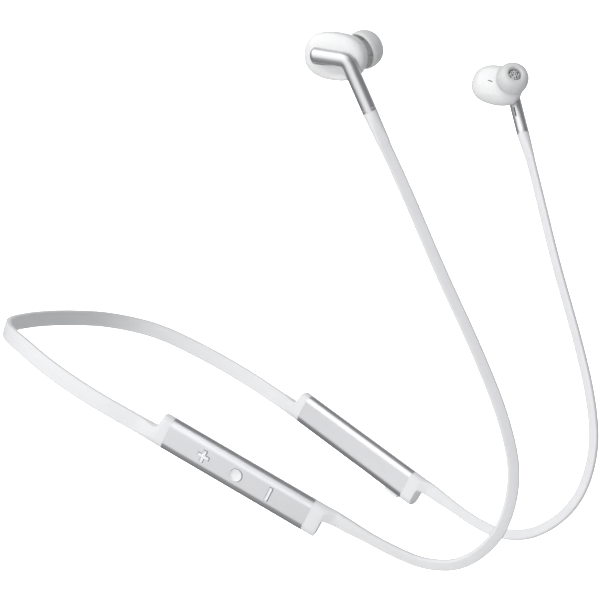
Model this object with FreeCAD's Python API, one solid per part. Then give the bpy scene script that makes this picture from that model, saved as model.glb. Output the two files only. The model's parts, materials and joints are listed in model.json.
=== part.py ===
import FreeCAD, Part
import math
import os

# Neckband earphones, in millimetres.
# Frame: the origin is at the middle of the neckband's back, +X is the wearer's front,
# +Y is the wearer's left and +Z is up.
# Every two-sided piece is built for the wearer's right side (-Y) and mirrored to the left.
# A module is an aluminium housing at a neckband end; a bud is what sits in the ear.

V = FreeCAD.Vector

# Neckband: a flat ribbon that stands on edge; its back and each arm lie in two sloping planes
BACK_SLOPE = math.radians(18.2)
ARM_SLOPE = math.radians(27.6)
BACK_MIDDLE = V(-0.6, 0, -0.5)
BAND_HEIGHT = 6.2
BAND_THICK = 2.3
BAND_CORNER = 0.9
BACK_RADIUS = 150.0
BACK_TURN = math.radians(11.5)
CORNER_RADIUS = 33.5
CORNER_TURN = math.radians(51.1)
SIDE_RADIUS = 81.2
SIDE_TURN = math.radians(36.2)
SIDE_STRAIGHT = 17.0
STRIP_HEIGHT = 3.2
STRIP_THICK = 0.6
FLEX_GAP = 0.95

# Module: a stadium-shaped tube, long axis forward and down
MODULE_CENTRE = V(106.6, -52.6, -50.7)
MODULE_SLOPE = math.radians(28.7)
MODULE_TOE_IN = math.radians(12.7)
MODULE_LEAN = math.radians(8.0)
SLEEVE_LENGTH = 56.0
SLEEVE_HEIGHT = 12.0
SLEEVE_THICK = 6.0
SLEEVE_WALL = 0.6
REAR_BOOT_LENGTH = 4.0
FRONT_BOOT_LENGTH = 5.0
PLUG_LENGTH = 1.2
NUB_LENGTH = 4.5
NUB_RISE = 3.5
NUB_ROOT = (3.4, 5.0, 1.2)
NUB_MARGIN = 0.3

# Keys on the right module's outer face
KEY_PROUD = 0.35
KEY_FLOOR = 1.5
KEY_PITCH = 13.0
KEY_CLEARANCE = 0.12
PLUS_ARM = 4.3
PLUS_WIDTH = 1.1
ROUND_KEY_RADIUS = 2.2
ROUND_KEY_RIM = 0.5
ROUND_KEY_DISH = 0.3
MINUS_LENGTH = 5.0
MINUS_WIDTH = 1.1
FLANGE_LIP = 0.45

# Boards and what they carry, as boxes: from and to along the module, from and to in depth
# (outer face negative), and from and to in height
BOARD_OUTER = -0.5
BOARD_INNER = 0.3
MAIN_BOARD = (-24.0, 24.0, BOARD_OUTER, BOARD_INNER, -4.6, 4.6)
WIRELESS_MODULE = (-9.0, 6.0, BOARD_INNER, 1.6, -3.7, 3.7)
ANTENNA = (13.0, 22.5, BOARD_INNER, 0.7, -3.6, 3.6)
VOICE_MICROPHONE = (-21.0, -17.5, BOARD_INNER, 1.4, -1.5, 1.5)
BATTERY = (-22.5, -1.5, -1.7, 1.2, -4.2, 4.2)
BATTERY_CORNER = 1.0
CHARGING_BOARD = (1.2, 25.2, -0.4, 0.4, -0.3, 4.2)
MODE_SWITCH = (20.2, 23.6, -1.2, 1.2, -3.25, -0.3)
SWITCH_RADIUS = 1.6
SWITCH_HEIGHT = 0.65

# Hollows of the moulded trays, in the same way, and the trays' gap to the tube
CHASSIS_GAP = 0.05
CHASSIS_SHORT = 0.3
RIGHT_POCKET = (-23.5, 23.5, -3.0, 1.8, -4.2, 4.2)
BATTERY_POCKET = (-22.6, 25.0, -1.9, 1.3, -4.3, 4.3)
LOWER_POCKET = (0.5, 27.0, -3.0, 3.0, -7.0, 4.3)

# Mode button and charging port on the left module's lower edge
BUTTON_START = 19.6
BUTTON_LENGTH = 6.6
BUTTON_WIDTH = 2.2
BUTTON_PROUD = 0.9
PORT_START = 3.0
PORT_COVER_LENGTH = 9.8
PORT_COVER_WIDTH = 3.4
PORT_COVER_THICK = 1.0
PORT_COVER_GAP = 0.15
BUTTON_INSIDE = -3.6
BUTTON_CORNER = 0.5
BUTTON_FLANGE_TOP = -5.0
BUTTON_FLANGE_LIP = 0.4
SOCKET_WIDTH = 7.5
SOCKET_THICK = 2.6
SOCKET_DEPTH = 4.4
SOCKET_WALL = 0.35
SOCKET_BACK = 0.5
TONGUE_WIDTH = 4.8
TONGUE_THICK = 0.6
TONGUE_SHORT = 0.8

# Cable: flat, from the module's front boot to the bud's strain relief
CABLE_WIDTH = 4.0
CABLE_THICK = 2.0
CABLE_CORNER = 0.7
CABLE_ROUTE = [
    V(147.3, -44.0, -69.5),
    V(159.8, -41.0, -76.2),
    V(170.7, -39.2, -80.1),
    V(184.4, -40.6, -78.9),
    V(198.2, -43.9, -67.6),
    V(204.0, -46.2, -49.2),
    V(201.9, -50.2, -31.0),
    V(194.5, -56.3, -7.8),
    V(183.4, -64.5, 20.5),
    V(175.1, -71.6, 45.0),
]
CABLE_END = V(169.6, -76.0, 59.2)

# The left bud hangs a little higher and tips further forward than the right one's mirror image,
# and both are twisted the same way on their cables
LEFT_BUD_SHIFT = V(1.0, 0, 2.2)
LEFT_END_SHIFT = V(-0.1, 0, 2.0)
LEFT_BUD_PITCH = math.radians(4.5)
BUD_TWIST = math.radians(4.0)

# Bud: the bend of the metal stem is its reference point
BUD_BEND = V(159.3, -81.9, 85.7)
BUD_SLOPE = math.radians(10.5)
BUD_LEAN = math.radians(13.0)
BAR_LENGTH = 10.0
BAR_RADIUS = 2.45
BEND_RADIUS = 3.2
STEM_LENGTH = 17.0
STEM_RAKE = math.radians(31.4)
STEM_BORE = 1.7
STEM_BORE_START = 4.0
STEM_SEAT_GAP = 0.05
CRADLE_WALL = 0.7
STEM_VENT_START = 7.1
STEM_VENT_LENGTH = 3.9
STEM_VENT_WIDTH = 0.5
STEM_VENT_TURN = math.radians(-17.0)
RING_LENGTH = 0.9
RELIEF_TOP_RADIUS = 2.4
RELIEF_END_RADIUS = 2.1
SHELL_LENGTH = 20.6
SHELL_HEIGHT = 15.5
SHELL_DEPTH = 7.4
SHELL_EDGE = 3.5
SHELL_WALL = 0.9
SHELL_CENTRE = V(-5.6, 3.7, -0.1)
DRIVER_RADIUS = 4.6
DRIVER_START = 3.3
DRIVER_DEPTH = 2.2
DRIVER_BACK_SET = 1.2
DIAPHRAGM_RADIUS = 4.0
DIAPHRAGM_CAP_RADIUS = 2.2
DIAPHRAGM_RISE = 0.4
SHELL_VENT_CENTRE = V(-8.0, 7.0, 0.2)
SHELL_VENT_LENGTH = 2.2
SHELL_VENT_WIDTH = 0.4
NOISE_MICROPHONE = (-14.0, -11.7, 3.3, 4.3, -1.4, 1.4)
TIP_CENTRE = V(1.2, 10.6, 2.0)
NOZZLE_AXIS = V(0.36, 0.88, 0.31)
NOZZLE_RADIUS = 2.4
NOZZLE_BORE = 1.6
NOZZLE_BACK = 6.0
NOZZLE_FRONT = 3.6
MESH_SET_BACK = 0.4
MESH_THICK = 0.3

# Ear tip, with heights measured along the nozzle from the dome's widest ring
TIP_CLEARANCE = 0.06
TIP_RADIUS = 6.35
TIP_TOP = 5.0
TIP_WALL = 0.55
TIP_LIP_RADIUS = 3.2
SLEEVE_BACK = 1.6
SKIRT_BACK = 2.3
SKIRT_DRAW_IN = 0.3

pieces = {}


def frame_at(origin, x_axis, z_axis):
    """The placement whose local x is x_axis and whose local z is nearest to z_axis."""
    x_axis = V(x_axis).normalize()
    y_axis = z_axis.cross(x_axis).normalize()
    z_axis = x_axis.cross(y_axis)
    return FreeCAD.Placement(FreeCAD.Matrix(
        x_axis.x, y_axis.x, z_axis.x, origin.x,
        x_axis.y, y_axis.y, z_axis.y, origin.y,
        x_axis.z, y_axis.z, z_axis.z, origin.z,
        0, 0, 0, 1,
    ))


def place(shape, frame):
    moved = shape.copy()
    moved.Placement = frame.multiply(moved.Placement)
    return moved


def box(low, high):
    return Part.makeBox(high.x - low.x, high.y - low.y, high.z - low.z, low)


def inner_box(sizes):
    """A box from its limits along the module, in depth and in height."""
    return box(V(sizes[0], sizes[2], sizes[4]), V(sizes[1], sizes[3], sizes[5]))


def stadium(height, thick, start, end):
    """A prism along x whose section is a stadium, tall along z."""
    radius = thick / 2
    flat = height / 2 - radius
    section = Part.Wire([
        Part.makeLine(V(start, radius, -flat), V(start, radius, flat)),
        Part.Arc(V(start, radius, flat), V(start, 0, height / 2), V(start, -radius, flat)).toShape(),
        Part.makeLine(V(start, -radius, flat), V(start, -radius, -flat)),
        Part.Arc(V(start, -radius, -flat), V(start, 0, -height / 2), V(start, radius, -flat)).toShape(),
    ])
    return Part.Face(section).extrude(V(end - start, 0, 0))


def rounded_section(thick, height, corner, frame):
    """A closed wire across the frame's x axis: thick along its y, height along its z."""
    y, z = thick / 2, height / 2
    inset = corner * (1 - math.sqrt(0.5))
    edges = []
    for sign_y, sign_z in ((1, 1), (-1, 1), (-1, -1), (1, -1)):
        side = V(0, sign_y * y, sign_z * (z - corner))
        middle = V(0, sign_y * (y - inset), sign_z * (z - inset))
        cap = V(0, sign_y * (y - corner), sign_z * z)
        ends = (side, cap) if sign_y == sign_z else (cap, side)
        edges.append((ends[0], middle, ends[1]))
    outline = []
    for index, (first, middle, last) in enumerate(edges):
        outline.append(Part.Arc(first, middle, last).toShape())
        outline.append(Part.makeLine(last, edges[(index + 1) % 4][0]))
    return place(Part.Wire(outline), frame)


def sweep(path, section):
    return path.makePipeShell([section], True, False)


def rounded_route(points, label):
    """Straight runs joined by tangent arcs, each as large as its two runs allow."""
    edges = []
    radii = []
    start = points[0]
    for before, corner, after in zip(points, points[1:], points[2:]):
        arriving = (corner - before).normalize()
        leaving = (after - corner).normalize()
        turn = arriving.getAngle(leaving)
        reach = 0.45 * min((corner - before).Length, (after - corner).Length)
        radius = reach / math.tan(turn / 2)
        radii.append(round(radius, 1))
        arc_start = corner - arriving * reach
        arc_end = corner + leaving * reach
        inward = (leaving - arriving).normalize()
        rise = radius / math.cos(turn / 2) - radius
        edges.append(Part.makeLine(start, arc_start))
        edges.append(Part.Arc(arc_start, corner + inward * rise, arc_end).toShape())
        start = arc_end
    edges.append(Part.makeLine(start, points[-1]))
    print(label, "bend radii", radii)
    return Part.Wire(edges)


def sloping_frame(origin, slope):
    """A frame whose x runs forward and down at the slope, with y straight to the left."""
    return frame_at(origin, V(math.cos(slope), 0, -math.sin(slope)), V(math.sin(slope), 0, math.cos(slope)))


# Frames of the band's back and of the right module
back_frame = sloping_frame(BACK_MIDDLE, BACK_SLOPE)

module_axis = V(
    math.cos(MODULE_SLOPE) * math.cos(MODULE_TOE_IN),
    math.cos(MODULE_SLOPE) * math.sin(MODULE_TOE_IN),
    -math.sin(MODULE_SLOPE),
)
module_upright = V(
    math.sin(MODULE_SLOPE) * math.cos(MODULE_TOE_IN),
    math.sin(MODULE_SLOPE) * math.sin(MODULE_TOE_IN),
    math.cos(MODULE_SLOPE),
)
module_outward = module_axis.cross(module_upright)
module_height = module_upright * math.cos(MODULE_LEAN) + module_outward * math.sin(MODULE_LEAN)
module_frame = frame_at(MODULE_CENTRE, module_axis, module_height)


def bud_frame(bend, slope, twist):
    """The bud's frame at the stem's bend: x along the bar, y towards the head, z up the shell."""
    upright = V(math.sin(slope), 0, math.cos(slope))
    height = upright * math.cos(BUD_LEAN) + V(0, -1, 0) * math.sin(BUD_LEAN)
    frame = frame_at(V(0, 0, 0), V(math.cos(slope), 0, -math.sin(slope)), height)
    twisted = FreeCAD.Placement(bend, FreeCAD.Rotation(V(0, 0, 1), math.degrees(twist)))
    return twisted.multiply(frame)


def arc_from(point, heading, radius, turn):
    """An arc of the band's plan; heading 0 points outward (-y), a quarter turn points forward (+x)."""
    centre = point + V(math.cos(heading), math.sin(heading), 0) * radius

    def on_arc(angle):
        return centre - V(math.cos(angle), math.sin(angle), 0) * radius

    end = on_arc(heading + turn)
    edge = Part.Arc(point, on_arc(heading + turn / 2), end).toShape()
    return edge, end


def heading_vector(heading):
    return V(math.sin(heading), -math.cos(heading), 0)


def ribbon(path, start, heading, thick, height, corner, frame):
    """A band along a path in a frame's plane, placed in the row's frame."""
    across = frame_at(start, heading_vector(heading), V(0, 0, 1))
    return place(sweep(path, rounded_section(thick, height, corner, across)), frame)


def back_point(angle):
    """A point of the back arc, by its turn from the middle; a positive turn is to the right."""
    return V(BACK_RADIUS * (1 - math.cos(angle)), -BACK_RADIUS * math.sin(angle), 0)


def flex_point():
    """Where the right arm of the neckband flexes: the front end of its corner, in the back's frame."""
    return arc_from(back_point(BACK_TURN), BACK_TURN, CORNER_RADIUS, CORNER_TURN)[1]


def make_neckband_back():
    """The back of the ribbon with both corners, between the two flex points."""
    end_gap = (BAND_THICK / 2 + FLEX_GAP) / CORNER_RADIUS
    right_corner, right_end = arc_from(back_point(BACK_TURN), BACK_TURN, CORNER_RADIUS, CORNER_TURN - end_gap)
    back = Part.Arc(back_point(-BACK_TURN), V(0, 0, 0), back_point(BACK_TURN)).toShape()
    left_corner = mirrored(right_corner)
    left_end = V(right_end.x, -right_end.y, 0)
    path = Part.Wire(Part.__sortEdges__([left_corner, back, right_corner]))
    heading = -(BACK_TURN + CORNER_TURN - end_gap)
    skin = ribbon(path, left_end, heading, BAND_THICK, BAND_HEIGHT, BAND_CORNER, back_frame)
    strip = ribbon(path, left_end, heading, STRIP_THICK, STRIP_HEIGHT, STRIP_THICK * 0.3, back_frame)
    pieces["neckband_back_skin"] = skin.cut(strip)
    pieces["neckband_back_strip"] = strip


def make_arm():
    """The right arm's ribbon, moulded in one with the boot behind the module, and its steel strip."""
    arm_frame = sloping_frame(back_frame.multVec(flex_point()), ARM_SLOPE)
    start = V(0, 0, 0)
    heading = BACK_TURN + CORNER_TURN
    side_edge, side_end = arc_from(start, heading, SIDE_RADIUS, SIDE_TURN)
    straight_end = side_end + heading_vector(heading + SIDE_TURN) * SIDE_STRAIGHT
    path = Part.Wire([side_edge, Part.makeLine(side_end, straight_end)])
    skin = ribbon(path, start, heading, BAND_THICK, BAND_HEIGHT, BAND_CORNER, arm_frame)
    rounded_end = Part.makeCylinder(BAND_THICK / 2, BAND_HEIGHT, V(0, 0, -BAND_HEIGHT / 2))
    strip = ribbon(path, start, heading, STRIP_THICK, STRIP_HEIGHT, STRIP_THICK * 0.3, arm_frame)
    rear = -SLEEVE_LENGTH / 2
    boot = stadium(SLEEVE_HEIGHT, SLEEVE_THICK, rear - REAR_BOOT_LENGTH, rear)
    beyond = place(box(V(rear - 0.5, -20, -20), V(rear + 30, 20, 20)), module_frame)
    moulding = skin.cut(beyond).fuse([place(rounded_end, arm_frame), place(boot, module_frame)])
    moulding = moulding.fuse(place(boot_plug(rear, 1), module_frame))
    strip = strip.cut(beyond)
    return moulding.removeSplitter().cut(strip), strip


def boot_plug(start, direction):
    """The short stub by which a boot sits inside the tube's end."""
    size = SLEEVE_WALL * 2 + 0.1
    low, high = sorted((start, start + direction * PLUG_LENGTH))
    return stadium(SLEEVE_HEIGHT - size, SLEEVE_THICK - size, low, high)


def make_front_boot():
    """The soft cap at the module's front, with the nub that the cable leaves by."""
    front = SLEEVE_LENGTH / 2
    cap = stadium(SLEEVE_HEIGHT, SLEEVE_THICK, front, front + FRONT_BOOT_LENGTH)
    nub_start = front + FRONT_BOOT_LENGTH - 0.5
    root = frame_at(V(nub_start, 0, NUB_RISE), V(1, 0, 0), V(0, 0, 1))
    mouth = frame_at(V(front + FRONT_BOOT_LENGTH + NUB_LENGTH, 0, NUB_RISE), V(1, 0, 0), V(0, 0, 1))
    nub = Part.makeLoft([
        rounded_section(*NUB_ROOT, root),
        rounded_section(CABLE_THICK + NUB_MARGIN, CABLE_WIDTH + NUB_MARGIN, CABLE_CORNER, mouth),
    ], True)
    return place(cap.fuse([boot_plug(front, -1), nub]).removeSplitter(), module_frame)


def sleeve_blank():
    """The aluminium tube, in the module's frame, before its openings are cut."""
    half = SLEEVE_LENGTH / 2
    outer = stadium(SLEEVE_HEIGHT, SLEEVE_THICK, -half, half)
    inner = stadium(SLEEVE_HEIGHT - 2 * SLEEVE_WALL, SLEEVE_THICK - 2 * SLEEVE_WALL, -half - 1, half + 1)
    return outer.cut(inner)


def chassis_blank():
    """The moulded tray that fills the tube, before its pockets are cut."""
    inset = 2 * (SLEEVE_WALL + CHASSIS_GAP)
    half = SLEEVE_LENGTH / 2 - PLUG_LENGTH - CHASSIS_SHORT
    return stadium(SLEEVE_HEIGHT - inset, SLEEVE_THICK - inset, -half, half)


def key_solid(kind, grow, outer, inner):
    """A key's outline as a solid between two depths, grown by a margin all round."""
    if kind == "plus":
        arm = PLUS_ARM / 2 + grow
        half = PLUS_WIDTH / 2 + grow
        along = box(V(-arm, outer, -half), V(arm, inner, half))
        upright = box(V(-half, outer, -arm), V(half, inner, arm))
        return along.fuse(upright).removeSplitter()
    if kind == "round":
        radius = ROUND_KEY_RADIUS + grow
        return Part.makeCylinder(radius, inner - outer, V(0, outer, 0), V(0, 1, 0))
    half = MINUS_WIDTH / 2 + grow
    arm = MINUS_LENGTH / 2 + grow
    return box(V(-half, outer, -arm), V(half, inner, arm))


def key_cap(kind):
    face = -SLEEVE_THICK / 2
    under = face + SLEEVE_WALL + 0.1
    cap = key_solid(kind, 0, face - KEY_PROUD, -KEY_FLOOR)
    flange = key_solid(kind, FLANGE_LIP, under, -KEY_FLOOR)
    if kind == "round":
        dish_radius = ROUND_KEY_RADIUS - ROUND_KEY_RIM
        dish = Part.makeCylinder(dish_radius, ROUND_KEY_DISH, V(0, face - KEY_PROUD, 0), V(0, 1, 0))
        cap = cap.cut(dish)
    return cap.fuse(flange).removeSplitter()


def make_right_module():
    """The module with the keys: sleeve, chassis, main board and what it carries."""
    sleeve = sleeve_blank()
    face = -SLEEVE_THICK / 2
    switches = []
    for index, kind in enumerate(("plus", "round", "minus")):
        along = V((index - 1) * KEY_PITCH, 0, 0)
        window = key_solid(kind, KEY_CLEARANCE, face - 1, face + SLEEVE_WALL + 0.05)
        window.translate(along)
        sleeve = sleeve.cut(window)
        cap = key_cap(kind)
        cap.translate(along)
        pieces[kind + "_key"] = place(cap, module_frame)
        switch_base = along + V(0, BOARD_OUTER - SWITCH_HEIGHT, 0)
        switches.append(Part.makeCylinder(SWITCH_RADIUS, SWITCH_HEIGHT, switch_base, V(0, 1, 0)))
    pieces["right_module_sleeve"] = place(sleeve, module_frame)
    pieces["key_switches"] = place(Part.makeCompound(switches), module_frame)
    behind_board = box(
        V(-SLEEVE_LENGTH, BOARD_INNER, -SLEEVE_HEIGHT),
        V(SLEEVE_LENGTH, SLEEVE_THICK, SLEEVE_HEIGHT),
    )
    chassis = chassis_blank().common(behind_board).cut(inner_box(RIGHT_POCKET))
    pieces["right_chassis"] = place(chassis, module_frame)
    pieces["main_board"] = place(inner_box(MAIN_BOARD), module_frame)
    pieces["wireless_module"] = place(inner_box(WIRELESS_MODULE), module_frame)
    pieces["antenna"] = place(inner_box(ANTENNA), module_frame)
    pieces["voice_microphone"] = place(inner_box(VOICE_MICROPHONE), module_frame)


def port_cover_region(grow, top):
    """The stretch of the tube's lower edge that the charging port's cover takes, grown by a margin."""
    half = PORT_COVER_WIDTH / 2 + grow
    below = -SLEEVE_HEIGHT / 2 - 1
    return box(V(PORT_START - grow, -half, below), V(PORT_START + PORT_COVER_LENGTH + grow, half, top))


def make_left_module():
    """The module with the battery, the mode button and the charging port; built as on the right."""
    half_height = SLEEVE_HEIGHT / 2
    cover_top = -half_height + PORT_COVER_THICK
    half_length = SLEEVE_LENGTH / 2
    cover = stadium(SLEEVE_HEIGHT, SLEEVE_THICK, -half_length, half_length)
    cover = cover.common(port_cover_region(0, cover_top))
    button_end = BUTTON_START + BUTTON_LENGTH
    half_button = BUTTON_WIDTH / 2
    slot = box(
        V(BUTTON_START - KEY_CLEARANCE, -half_button - KEY_CLEARANCE, -half_height - 1),
        V(button_end + KEY_CLEARANCE, half_button + KEY_CLEARANCE, BUTTON_INSIDE),
    )
    sleeve = sleeve_blank().cut(slot).cut(port_cover_region(PORT_COVER_GAP, cover_top + 2 * PORT_COVER_GAP))
    button = box(
        V(BUTTON_START, -half_button, -half_height - BUTTON_PROUD),
        V(button_end, half_button, BUTTON_INSIDE),
    )
    outer_edges = [edge for edge in button.Edges if edge.BoundBox.ZMax < -half_height]
    button = button.makeFillet(BUTTON_CORNER, outer_edges)
    flange = box(
        V(BUTTON_START - BUTTON_FLANGE_LIP, -half_button, BUTTON_FLANGE_TOP),
        V(button_end + BUTTON_FLANGE_LIP, half_button, BUTTON_INSIDE),
    )
    pieces["mode_button"] = place(button.fuse(flange).removeSplitter(), module_frame)
    pieces["port_cover"] = place(cover, module_frame)
    pieces["left_module_sleeve"] = place(sleeve, module_frame)
    tray = chassis_blank().cut(inner_box(BATTERY_POCKET)).cut(inner_box(LOWER_POCKET))
    pieces["left_chassis"] = place(tray, module_frame)
    battery = inner_box(BATTERY)
    battery_length = BATTERY[1] - BATTERY[0]
    long_edges = [edge for edge in battery.Edges if edge.Length > battery_length - 1]
    battery = battery.makeFillet(BATTERY_CORNER, long_edges)
    pieces["battery"] = place(battery, module_frame)
    pieces["charging_board"] = place(inner_box(CHARGING_BOARD), module_frame)
    middle = PORT_START + PORT_COVER_LENGTH / 2
    mouth = cover_top + 0.1
    socket = box(
        V(middle - SOCKET_WIDTH / 2, -SOCKET_THICK / 2, mouth),
        V(middle + SOCKET_WIDTH / 2, SOCKET_THICK / 2, mouth + SOCKET_DEPTH),
    )
    half_hollow = V(SOCKET_WIDTH / 2 - SOCKET_WALL, SOCKET_THICK / 2 - SOCKET_WALL, 0)
    hollow = box(
        V(middle, 0, mouth - 1) - half_hollow,
        V(middle, 0, mouth + SOCKET_DEPTH - SOCKET_BACK) + half_hollow,
    )
    tongue = box(
        V(middle - TONGUE_WIDTH / 2, -TONGUE_THICK / 2, mouth + TONGUE_SHORT),
        V(middle + TONGUE_WIDTH / 2, TONGUE_THICK / 2, mouth + SOCKET_DEPTH - SOCKET_BACK / 2),
    )
    pieces["charging_socket"] = place(socket.cut(hollow).fuse(tongue).removeSplitter(), module_frame)
    pieces["mode_switch"] = place(inner_box(MODE_SWITCH), module_frame)


def pill(shrink):
    """The bud's rounded shell form, in the bud's frame, shrunk by a margin all round."""
    radius = SHELL_HEIGHT / 2 - shrink
    flat = (SHELL_LENGTH - SHELL_HEIGHT) / 2
    depth = SHELL_DEPTH / 2 - shrink
    outline = Part.Wire([
        Part.makeLine(V(flat, -depth, -radius), V(-flat, -depth, -radius)),
        Part.Arc(V(-flat, -depth, -radius), V(-flat - radius, -depth, 0), V(-flat, -depth, radius)).toShape(),
        Part.makeLine(V(-flat, -depth, radius), V(flat, -depth, radius)),
        Part.Arc(V(flat, -depth, radius), V(flat + radius, -depth, 0), V(flat, -depth, -radius)).toShape(),
    ])
    solid = Part.Face(outline).extrude(V(0, 2 * depth, 0))
    rims = []
    for edge in solid.Edges:
        extent = edge.BoundBox
        if extent.YMax - extent.YMin < 0.01:
            rims.append(edge)
    solid = solid.makeFillet(SHELL_EDGE - shrink, rims)
    solid.translate(SHELL_CENTRE)
    return solid


stem_down = V(math.sin(STEM_RAKE), 0, -math.cos(STEM_RAKE))


def seven(radius):
    """The metal bar and stem as one bent rod of a given radius, in the bud's frame."""
    turn = math.pi / 2 - STEM_RAKE
    reach = BEND_RADIUS * math.tan(turn / 2)
    bar_start = V(-BAR_LENGTH, 0, 0)
    arc_start = V(-reach, 0, 0)
    arc_end = stem_down * reach
    inward = (stem_down - V(1, 0, 0)).normalize()
    rise = BEND_RADIUS / math.cos(turn / 2) - BEND_RADIUS
    path = Part.Wire([
        Part.makeLine(bar_start, arc_start),
        Part.Arc(arc_start, inward * rise, arc_end).toShape(),
        Part.makeLine(arc_end, stem_down * STEM_LENGTH),
    ])
    section = Part.Wire([Part.makeCircle(radius, bar_start, V(1, 0, 0))])
    rounded_end = Part.makeSphere(radius, bar_start)
    return sweep(path, section).fuse(rounded_end).removeSplitter()


def stem_vent():
    """The slot through the stem's wall, on the side that faces the head."""
    sideways = stem_down.cross(V(0, 1, 0))
    outward = V(0, 1, 0) * math.cos(STEM_VENT_TURN) + sideways * math.sin(STEM_VENT_TURN)
    half_width = STEM_VENT_WIDTH / 2
    slot = box(V(0, -half_width, STEM_BORE - 0.5), V(STEM_VENT_LENGTH, half_width, BAR_RADIUS + 1))
    return place(slot, frame_at(stem_down * STEM_VENT_START, stem_down, outward))


def shell_vent():
    """The short slot in the inner shell, level with the bar."""
    half = V(SHELL_VENT_LENGTH / 2, 1.0, SHELL_VENT_WIDTH / 2)
    return box(SHELL_VENT_CENTRE - half, SHELL_VENT_CENTRE + half)


def make_bud():
    """The right bud's pieces, in the bud's frame, as a dictionary of name and shape."""
    rod = seven(BAR_RADIUS)
    bore = Part.makeCylinder(STEM_BORE, STEM_LENGTH, stem_down * STEM_BORE_START, stem_down)
    ring = Part.makeCylinder(BAR_RADIUS, RING_LENGTH, stem_down * STEM_LENGTH, stem_down)
    ring = ring.cut(Part.makeCylinder(STEM_BORE, RING_LENGTH, stem_down * STEM_LENGTH, stem_down))
    outer = pill(0)
    cavity = pill(SHELL_WALL)
    reach = 2 * SHELL_LENGTH
    outer_side = box(V(-reach, -reach, -reach), V(reach, SHELL_CENTRE.y, reach))
    cradle = seven(BAR_RADIUS + CRADLE_WALL).common(outer)
    seat = seven(BAR_RADIUS + STEM_SEAT_GAP)
    outer_shell = outer.cut(cavity).fuse(cradle).common(outer_side).cut(seat)
    axis = V(NOZZLE_AXIS).normalize()
    tube_start = TIP_CENTRE - axis * NOZZLE_BACK
    tube_length = NOZZLE_BACK + NOZZLE_FRONT
    tube = Part.makeCylinder(NOZZLE_RADIUS, tube_length, tube_start, axis).cut(outer_side)
    throat = Part.makeCylinder(NOZZLE_BORE, tube_length + 2, tube_start - axis, axis)
    inner_shell = outer.cut(cavity).cut(outer_side).fuse(tube).cut(throat).cut(shell_vent())
    mesh_at = TIP_CENTRE + axis * (NOZZLE_FRONT - MESH_SET_BACK)
    driver_centre = V(SHELL_CENTRE.x - DRIVER_BACK_SET, DRIVER_START, SHELL_CENTRE.z)
    driver = Part.makeCylinder(DRIVER_RADIUS, DRIVER_DEPTH, driver_centre, V(0, 1, 0))
    dome_at = driver_centre + V(0, DRIVER_DEPTH, 0)
    diaphragm = Part.makeCone(DIAPHRAGM_RADIUS, DIAPHRAGM_CAP_RADIUS, DIAPHRAGM_RISE, dome_at, V(0, 1, 0))
    return {
        "stem": rod.cut(bore).cut(stem_vent()),
        "stem_ring": ring,
        "outer_shell": outer_shell,
        "inner_shell": inner_shell.removeSplitter(),
        "nozzle_mesh": Part.makeCylinder(NOZZLE_BORE, MESH_THICK, mesh_at, axis),
        "driver_magnet": driver,
        "driver_diaphragm": diaphragm,
        "noise_microphone": inner_box(NOISE_MICROPHONE),
        "ear_tip": make_ear_tip(axis),
    }


def make_ear_tip(axis):
    """The soft dome that seals the ear, turned about the nozzle's axis."""
    bore = NOZZLE_RADIUS + TIP_CLEARANCE
    lip = TIP_LIP_RADIUS
    top = TIP_TOP
    under = top - TIP_WALL - 0.35
    wide = TIP_RADIUS
    inside = TIP_RADIUS - TIP_WALL
    rim = TIP_RADIUS - SKIRT_DRAW_IN
    inner_rim = rim - TIP_WALL
    shoulder = 0.82
    half_skirt = -SKIRT_BACK / 2
    inner_foot = V(inner_rim, 0, -SKIRT_BACK + 0.1)
    profile = Part.Wire([
        Part.makeLine(V(bore, 0, -SLEEVE_BACK), V(bore, 0, top - 0.5)),
        Part.Arc(V(bore, 0, top - 0.5), V(bore + 0.24, 0, top - 0.05), V(lip, 0, top)).toShape(),
        Part.Arc(V(lip, 0, top), V(wide * shoulder + 0.2, 0, top * 0.64), V(wide, 0, 0)).toShape(),
        Part.Arc(V(wide, 0, 0), V(wide - 0.06, 0, half_skirt), V(rim, 0, -SKIRT_BACK)).toShape(),
        Part.makeLine(V(rim, 0, -SKIRT_BACK), inner_foot),
        Part.Arc(inner_foot, V(inside - 0.06, 0, half_skirt), V(inside, 0, 0)).toShape(),
        Part.Arc(V(inside, 0, 0), V(inside * shoulder, 0, top * 0.54), V(lip, 0, under)).toShape(),
        Part.makeLine(V(lip, 0, under), V(lip, 0, -SLEEVE_BACK)),
        Part.makeLine(V(lip, 0, -SLEEVE_BACK), V(bore, 0, -SLEEVE_BACK)),
    ])
    turned = Part.Face(profile).revolve(V(0, 0, 0), V(0, 0, 1), 360)
    across = axis.cross(V(1, 0, 0))
    return place(turned, frame_at(TIP_CENTRE, across, axis))


def make_cable(side, start, end, stem_end):
    """The flat cable's solid along its route, and the strain relief between it and the stem."""
    route = [start] + CABLE_ROUTE + [end]
    path = rounded_route(route, side + " cable")
    first = frame_at(start, route[1] - start, module_height)
    section = rounded_section(CABLE_THICK, CABLE_WIDTH, CABLE_CORNER, first)
    cable = sweep(path, section)
    area = Part.Face(section).Area
    print(side, "cable length", round(path.Length, 1), "volume over section x length",
          round(cable.Volume / (area * path.Length), 4))
    relief_axis = end - stem_end
    relief = Part.makeCone(RELIEF_TOP_RADIUS, RELIEF_END_RADIUS, relief_axis.Length, stem_end, relief_axis)
    return cable, relief


def mirrored(shape):
    return shape.mirror(V(0, 0, 0), V(0, 1, 0))


def both_sides(name, shape):
    pieces["right_" + name] = shape
    pieces["left_" + name] = mirrored(shape)


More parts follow.
